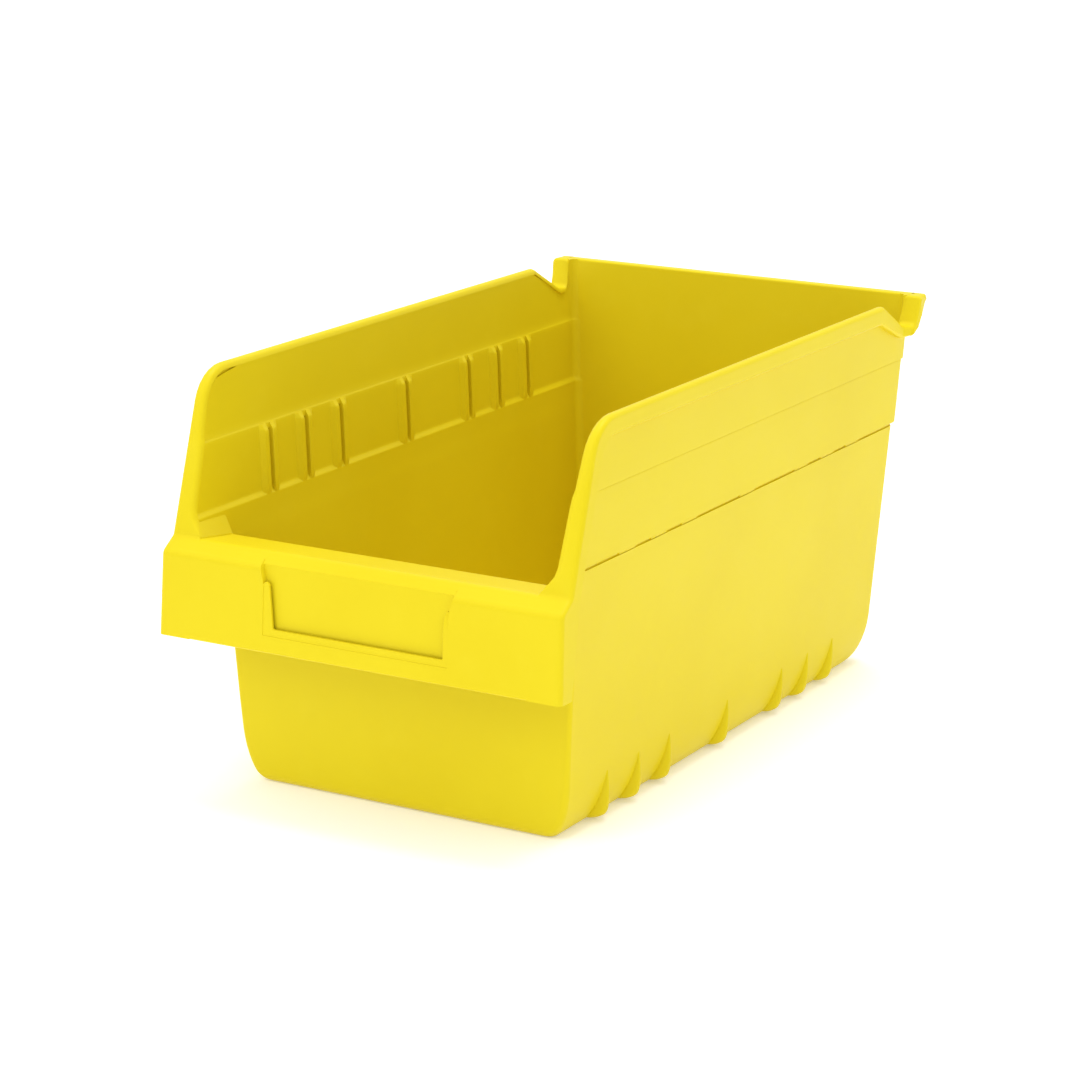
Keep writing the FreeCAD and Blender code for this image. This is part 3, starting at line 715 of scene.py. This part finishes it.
# lip section carried across the opening; inside the label recess the face stands back by its depth
def makeLip():
    thick, corner = lip["thick"], lipBottom + lip["corner"]
    underFoot, overFoot = lip["recessFoot"] - lip["footEdge"], lip["recessFoot"] + lip["footEdge"]
    joinY = float(outerFront(shell["joinZ"]))
    outer = roundedPath([
        (frontY + lip["corner"], lipBottom), (faceY(corner), corner),
        (faceY(underFoot), underFoot), (faceY(overFoot), overFoot),
        rim["faceTop"], rim["crest"], lip["shelfRear"], (joinY + shell["wall"], shell["joinZ"]),
    ], lip["radii"], lip["steps"])
    inner = roundedPath([
        (frontY + thick - lip["corner"], lipBottom), (faceY(corner) + thick, corner),
        (faceY(underFoot) + thick, underFoot), (faceY(overFoot) + thick, overFoot),
        (rim["faceTop"][0] + thick, 89.6), (-139.4, 93.0),
        (lip["shelfRear"][0] - thick, 90.9), (joinY + 0.05, shell["joinZ"]),
    ], lip["innerRadii"], lip["steps"])
    half, margin = lip["recessHalf"], lip["recessMargin"]
    edge = np.array([half - lip["recessEdge"], half + lip["recessEdge"]])
    columns = np.concatenate([np.linspace(-lip["halfX"], -half - margin, 12), -edge[::-1],
                              np.linspace(-half + margin, half - margin, 25), edge,
                              np.linspace(half + margin, lip["halfX"], 12)])
    grids = []
    for line, back in ((outer, 0.0), (inner, thick)):
        y, z = line[:, :1], line[:, 1:]
        near = smooth(z, *lip["flareRange"]) * lip["recessFlare"] / half
        falling = 1 - smooth(np.abs(columns) - half, 0, lip["flareFade"])
        x = columns * (1 + near * falling)
        mask = (np.abs(columns) < half) & (z > lip["recessFoot"])
        onFace = np.arange(len(line))[:, None] < np.argmax(line[:, 1]) + (0 if back == 0 else 2)
        pushed = np.maximum(y, faceY(z) + back + lip["recessDepth"] * mask)
        y = np.where(mask & onFace, pushed, y + 0 * x)
        grids.append(np.stack([x + 0 * z, y, z + 0 * x], axis=-1))
    return thickSheet(grids[0], grids[1])


# innerLeft and innerRight are the window's half widths at the sill and at the top
strip = {
    "outerX": 37.45,
    "bottom": 66.8,
    "sillTop": 69.4,
    "top": 85.9,
    "innerLeft": (-33.2, -34.9),
    "innerRight": (35.3, 35.1),
    "setBack": 0.15,
    "thick": 0.9,
    "fade": 1.3,
    "fadeRun": 5,
    "tipRadius": 0.9,
    "outerRadii": (0.6, 0.3, 0.3, 0.6),
    "innerRadii": (0.6, 0.8, 0.5, 0.6),
    "steps": (1, 12, 30, 12, 1),
    "across": (0.0, 0.02, 0.07, 0.3, 0.7, 0.93, 0.98, 1.0),
    "sunk": (0, 0, 0, 0, 0, 0, 0.12, 0.35),
}


# label holder: the band between an outer and an inner U-line, given a front face, a back and rounded edges
def makeStrip():
    out, low, high = strip["outerX"], strip["bottom"], strip["top"]
    left, right, sill, tip = strip["innerLeft"], strip["innerRight"], strip["sillTop"], strip["tipRadius"]
    outer = roundedPath([(-out + tip, high), (-out, high - tip), (-out, low), (out, low),
                         (out, high - tip), (out - tip, high)], strip["outerRadii"], strip["steps"])
    inner = roundedPath([(left[1] - tip, high), (left[1], high - tip), (left[0], sill), (right[0], sill),
                         (right[1], high - tip), (right[1] + tip, high)],
                        strip["innerRadii"], strip["steps"])
    across = np.array(strip["across"])[:, None, None]
    sunk = np.array(strip["sunk"])[:, None]
    flat = outer + (inner - outer) * across
    fade = strip["fade"] * smooth(flat[..., 1], high - strip["fadeRun"], high) * (flat[..., 0] > 0)
    front = faceY(flat[..., 1]) + strip["setBack"] + sunk + fade
    rear = faceY(flat[..., 1]) + strip["setBack"] + strip["thick"] + fade
    grids = [np.stack([flat[..., 0], y, flat[..., 1]], axis=-1) for y in (front, rear)]
    return thickSheet(grids[0], grids[1])


hook = {
    "drop": 4.4,
    "heel": 144.0,
    "thick": 1.6,
    "radii": (0.9, 1.2, 0.9),
    "insideRadii": (0.2, 0.2, 0.2),
    "steps": (2, 4, 2, 3),
    "columns": 41,
}


# hanging lip: a rounded hook section carried along the rear wall between the ears
def makeHangingLip():
    innerFace = float(outerRear(rimZ)) - shell["wall"]
    seamZ, low, under = rimZ - rim["seam"], rimZ - hook["drop"], rimZ - hook["thick"]
    section = roundedPath([(innerFace - 0.1, seamZ), (innerFace, rimZ), (rearY, rimZ),
                           (rearY, low), (hook["heel"], low)], hook["radii"], hook["steps"])
    inside = roundedPath([(innerFace + 0.8, seamZ + 0.2), (innerFace + 0.9, under), (rearY - 2.0, under),
                          (rearY - 2.2, low + 1.4), (hook["heel"], low + 1.0)],
                         hook["insideRadii"], hook["steps"])
    x = np.linspace(-1, 1, hook["columns"]) * (float(innerX(rimZ)) + rim["innerEdge"])
    grids = [np.stack([x + 0 * line[:, :1], line[:, :1] + 0 * x, line[:, 1:] + 0 * x], axis=-1)
             for line in (section, inside)]
    return thickSheet(grids[0], grids[1])


# corner ramp: a slanted plane from the shelf up to the ledge, its front end in the plane of the slope
def makeRamp():
    across = np.array([0, 0.06, 0.14, 0.4, 0.7, 0.92, 1.0])[:, None]
    back = np.array([0, 0.25, 0.5, 0.75, 0.93, 0.98, 1.0])
    slope = (rim["slopeTop"][0] - rim["crest"][0]) / (rim["slopeTop"][1] - rim["crest"][1])
    shelfFall = (lip["shelfRear"][1] - rim["crest"][1]) / (lip["shelfRear"][0] - rim["crest"][0])
    x = ramp["footX"] + (ramp["topX"] - ramp["footX"]) * across
    rise = ramp["topZ"] * across + (1 - across) * rim["crest"][1]
    start = rim["crest"][0] + slope * (rise - rim["crest"][1]) + rim["seam"] * ramp["frontLap"]
    y = start + back * (lip["shelfRear"][0] - 0.1 - start)
    shelfZ = rim["crest"][1] + shelfFall * (y - rim["crest"][0])
    nose = ramp["nose"] * smooth(back, ramp["noseStart"], 1.0)
    z = shelfZ + (ramp["topZ"] - shelfZ) * across - nose * (across > 0)
    under = shelfZ - lip["thick"] + 0 * z
    grids = [np.stack([x + 0 * y, y, height], axis=-1) for height in (z, under)]
    return thickSheet(grids[0], grids[1])


# the divider stations: places counted in pitches from the middle one
stations = {
    "pitch": 23.4,
    "middle": 4.5,
    "places": (-4, -3, -2, 0, 2, 3, 4),
    "halfGroove": 1.2,
    "crest": 2.4,
    "flank": 1.9,
    "proud": 1.55,
    "foot": 99.6,
    "leadIn": (124.3, 126.7),
    "heights": (0, 0, 0.86, 1, 1, 0.9, 0.06, 0),
    "wallX": ((99.0, 72.75), (102.9, 72.85), (126.4, 74.0), (127.5, 74.1)),
    "crestX": 71.35,
    "buried": 0.25,
    "thick": 1.6,
}


# pair of slot ribs: a height field over the inner wall, its plan two flat ridges with a groove between,
# its rise fading out under the upper ledge
def makeRibs(middle):
    groove, crest, flank = stations["halfGroove"], stations["crest"], stations["flank"]
    marks = np.cumsum([0, groove, 0.06, 0.2, crest - 0.5, 0.25, flank, 0.3])
    heights = np.array(stations["heights"])
    y = np.concatenate([-marks[:0:-1], marks])
    plan = np.concatenate([heights[:0:-1], heights])
    z = np.concatenate([[stations["foot"], 100.6, 101.4, 102.2, 103.0], np.linspace(106, 123.0, 7),
                        np.linspace(*stations["leadIn"], 5)])[:, None]
    rise = 1 - smooth(z, stations["leadIn"][0] - 0.4, stations["leadIn"][1] + 0.6)
    proud = stations["proud"] * plan * rise
    wallX = runs(z, stations["wallX"])
    lead = 0.3 * smooth(z, 101.0, 99.6)
    face = wallX - proud + lead - 0.02 * (plan > 0)
    least = stations["crestX"] + 0.4 * (1 - smooth(z, 100.0, 104.0))
    face = np.where(plan > 0.5, np.maximum(face, least), face)
    inSlot = (plan <= 0.0) & (np.abs(y) < groove + 0.01)
    face = np.where(plan <= 0.0, wallX + stations["buried"] + wallPlan["slotDepth"] * inSlot, face)
    grids = [np.stack([depth + 0 * y, middle + y + 0 * z, z + 0 * y], axis=-1)
             for depth in (face, wallX + stations["thick"] + 0 * y)]
    return thickSheet(grids[0], grids[1])


foot = {
    "top": 19.8,
    "bottom": 0.5,
    "halfWidth": 5.0,
    "proud": 4.2,
    "tip": 0.35,
    "nose": 0.16,
    "noseWidth": 0.15,
    "widthPower": 1.15,
    "proudPower": 1.1,
    "bulgePower": 1.35,
    "sunk": 0.4,
    "back": 1.1,
}


# divider foot: a teardrop whose width and rise grow down the foot curve and round off at the bottom
def makeFoot(middle):
    t = np.linspace(0, 1, 25)[:, None]
    z = foot["top"] + (foot["bottom"] - foot["top"]) * t
    nose = np.sqrt(np.clip(1 - np.clip((t - 1 + foot["nose"]) / foot["nose"], 0, 1) ** 2, 0, 1))
    widest = foot["tip"] + (foot["halfWidth"] - foot["tip"]) * t ** foot["widthPower"]
    width = widest * (foot["noseWidth"] + (1 - foot["noseWidth"]) * nose)
    proud = (foot["proud"] + drawIn(middle, z)) * t ** foot["proudPower"] * nose
    angle = np.linspace(-math.pi / 2, math.pi / 2, 21)
    bulge = np.cos(angle) ** foot["bulgePower"]
    y = middle + width * np.sin(angle)
    base = outerX(z) - drawIn(middle, z)
    raised = base - foot["sunk"] + (proud + foot["sunk"]) * bulge * (t > 0)
    grids = [np.stack([raised, y, z + 0 * y], axis=-1),
             np.stack([base - foot["back"] + 0 * y, y, z + 0 * y], axis=-1)]
    return thickSheet(grids[0], grids[1])


places = [stations["middle"] + stations["pitch"] * place for place in stations["places"]]
sides = [("right", lambda skin: skin), ("left", lambda skin: mirrored(*skin))]
addPiece("tub", makeTub(), ["floor_panel", "front_wall", "left_lower_wall", "right_lower_wall"])
addPiece("upperWalls", makeWalls(), ["rear_wall", "left_middle_band", "right_middle_band",
                                     "left_upper_band", "right_upper_band"])
addPiece("frontLip", makeLip(), ["front_lip"])
addPiece("labelStrip", makeStrip(), ["label_holder"])
addPiece("hangingLip", makeHangingLip(), ["rear_hanging_lip"])
for side, turned in sides:
    addPiece(f"{side}Rim", turned(makeRim()),
             [f"{side}_rim_flange", f"{side}_rear_ear", f"{side}_lip_end"])
    addPiece(f"{side}Cheek", turned(makeCheek()), [f"{side}_cheek"])
    addPiece(f"{side}Ramp", turned(makeRamp()), [f"{side}_corner_ramp"])
    addPiece(f"{side}Ribs", turned(together([makeRibs(y) for y in places])), [f"{side}_slot_ribs"])
    addPiece(f"{side}Feet", turned(together([makeFoot(y) for y in places])), [f"{side}_divider_feet"])

studio = {
    "floorColour": (0.97, 0.97, 0.97, 1),
    "floorPale": (0.98, 0.98, 0.98, 1),
    "floorReach": 12.0,
    "floorZ": -2e-5,
    "floorGlow": 0.20,
    "world": 0.85,
    "aim": (0, 0, 0.07),
    # each light's name, place, width in metres and power in watts
    "lights": [
        ("key", (-0.9, -2.2, 2.4), 2.6, 23.0),
        ("top", (0.1, 0.4, 2.8), 1.4, 38.0),
        ("side", (2.0, -0.6, 2.0), 1.4, 0.4),
    ],
}


# pale floor, an even white surround and three soft lights that face the bin
def makeStudio(look):
    make = Maker("paleFloor")
    position = make.node("ShaderNodeTexCoord", {}, {}, 3)
    tint = make.mix(make.noise(position, 3.0), look["floorColour"], look["floorPale"])
    make.feed(make.shader, "Base Color", tint)
    make.shader.inputs["Roughness"].default_value = 0.9
    make.shader.inputs["Emission Color"].default_value = (1, 1, 1, 1)
    make.shader.inputs["Emission Strength"].default_value = look["floorGlow"]
    make.shader.inputs["Specular IOR Level"].default_value = 0.1
    reach, low = look["floorReach"], look["floorZ"]
    mesh = bpy.data.meshes.new("floor")
    mesh.from_pydata([(-reach, -reach, low), (reach, -reach, low), (reach, reach, low),
                      (-reach, reach, low)], [], [(0, 1, 2, 3)])
    floor = bpy.data.objects.new("floor", mesh)
    mesh.materials.append(make.material)
    bpy.context.scene.collection.objects.link(floor)
    world = bpy.data.worlds.new("studio")
    bpy.context.scene.world = world
    world.use_nodes = True
    backdrop = world.node_tree.nodes["Background"]
    backdrop.inputs["Color"].default_value = (1, 1, 1, 1)
    backdrop.inputs["Strength"].default_value = look["world"]
    aim = Vector(look["aim"])
    for name, place, size, power in look["lights"]:
        data = bpy.data.lights.new(name, "AREA")
        data.shape = "DISK"
        data.size = size
        data.energy = power
        light = bpy.data.objects.new(name, data)
        light.location = place
        light.rotation_mode = "QUATERNION"
        light.rotation_quaternion = (aim - Vector(place)).to_track_quat("-Z", "Y")
        bpy.context.scene.collection.objects.link(light)
    bpy.context.scene.view_settings.view_transform = "Standard"


makeStudio(studio)
print("studio ready")
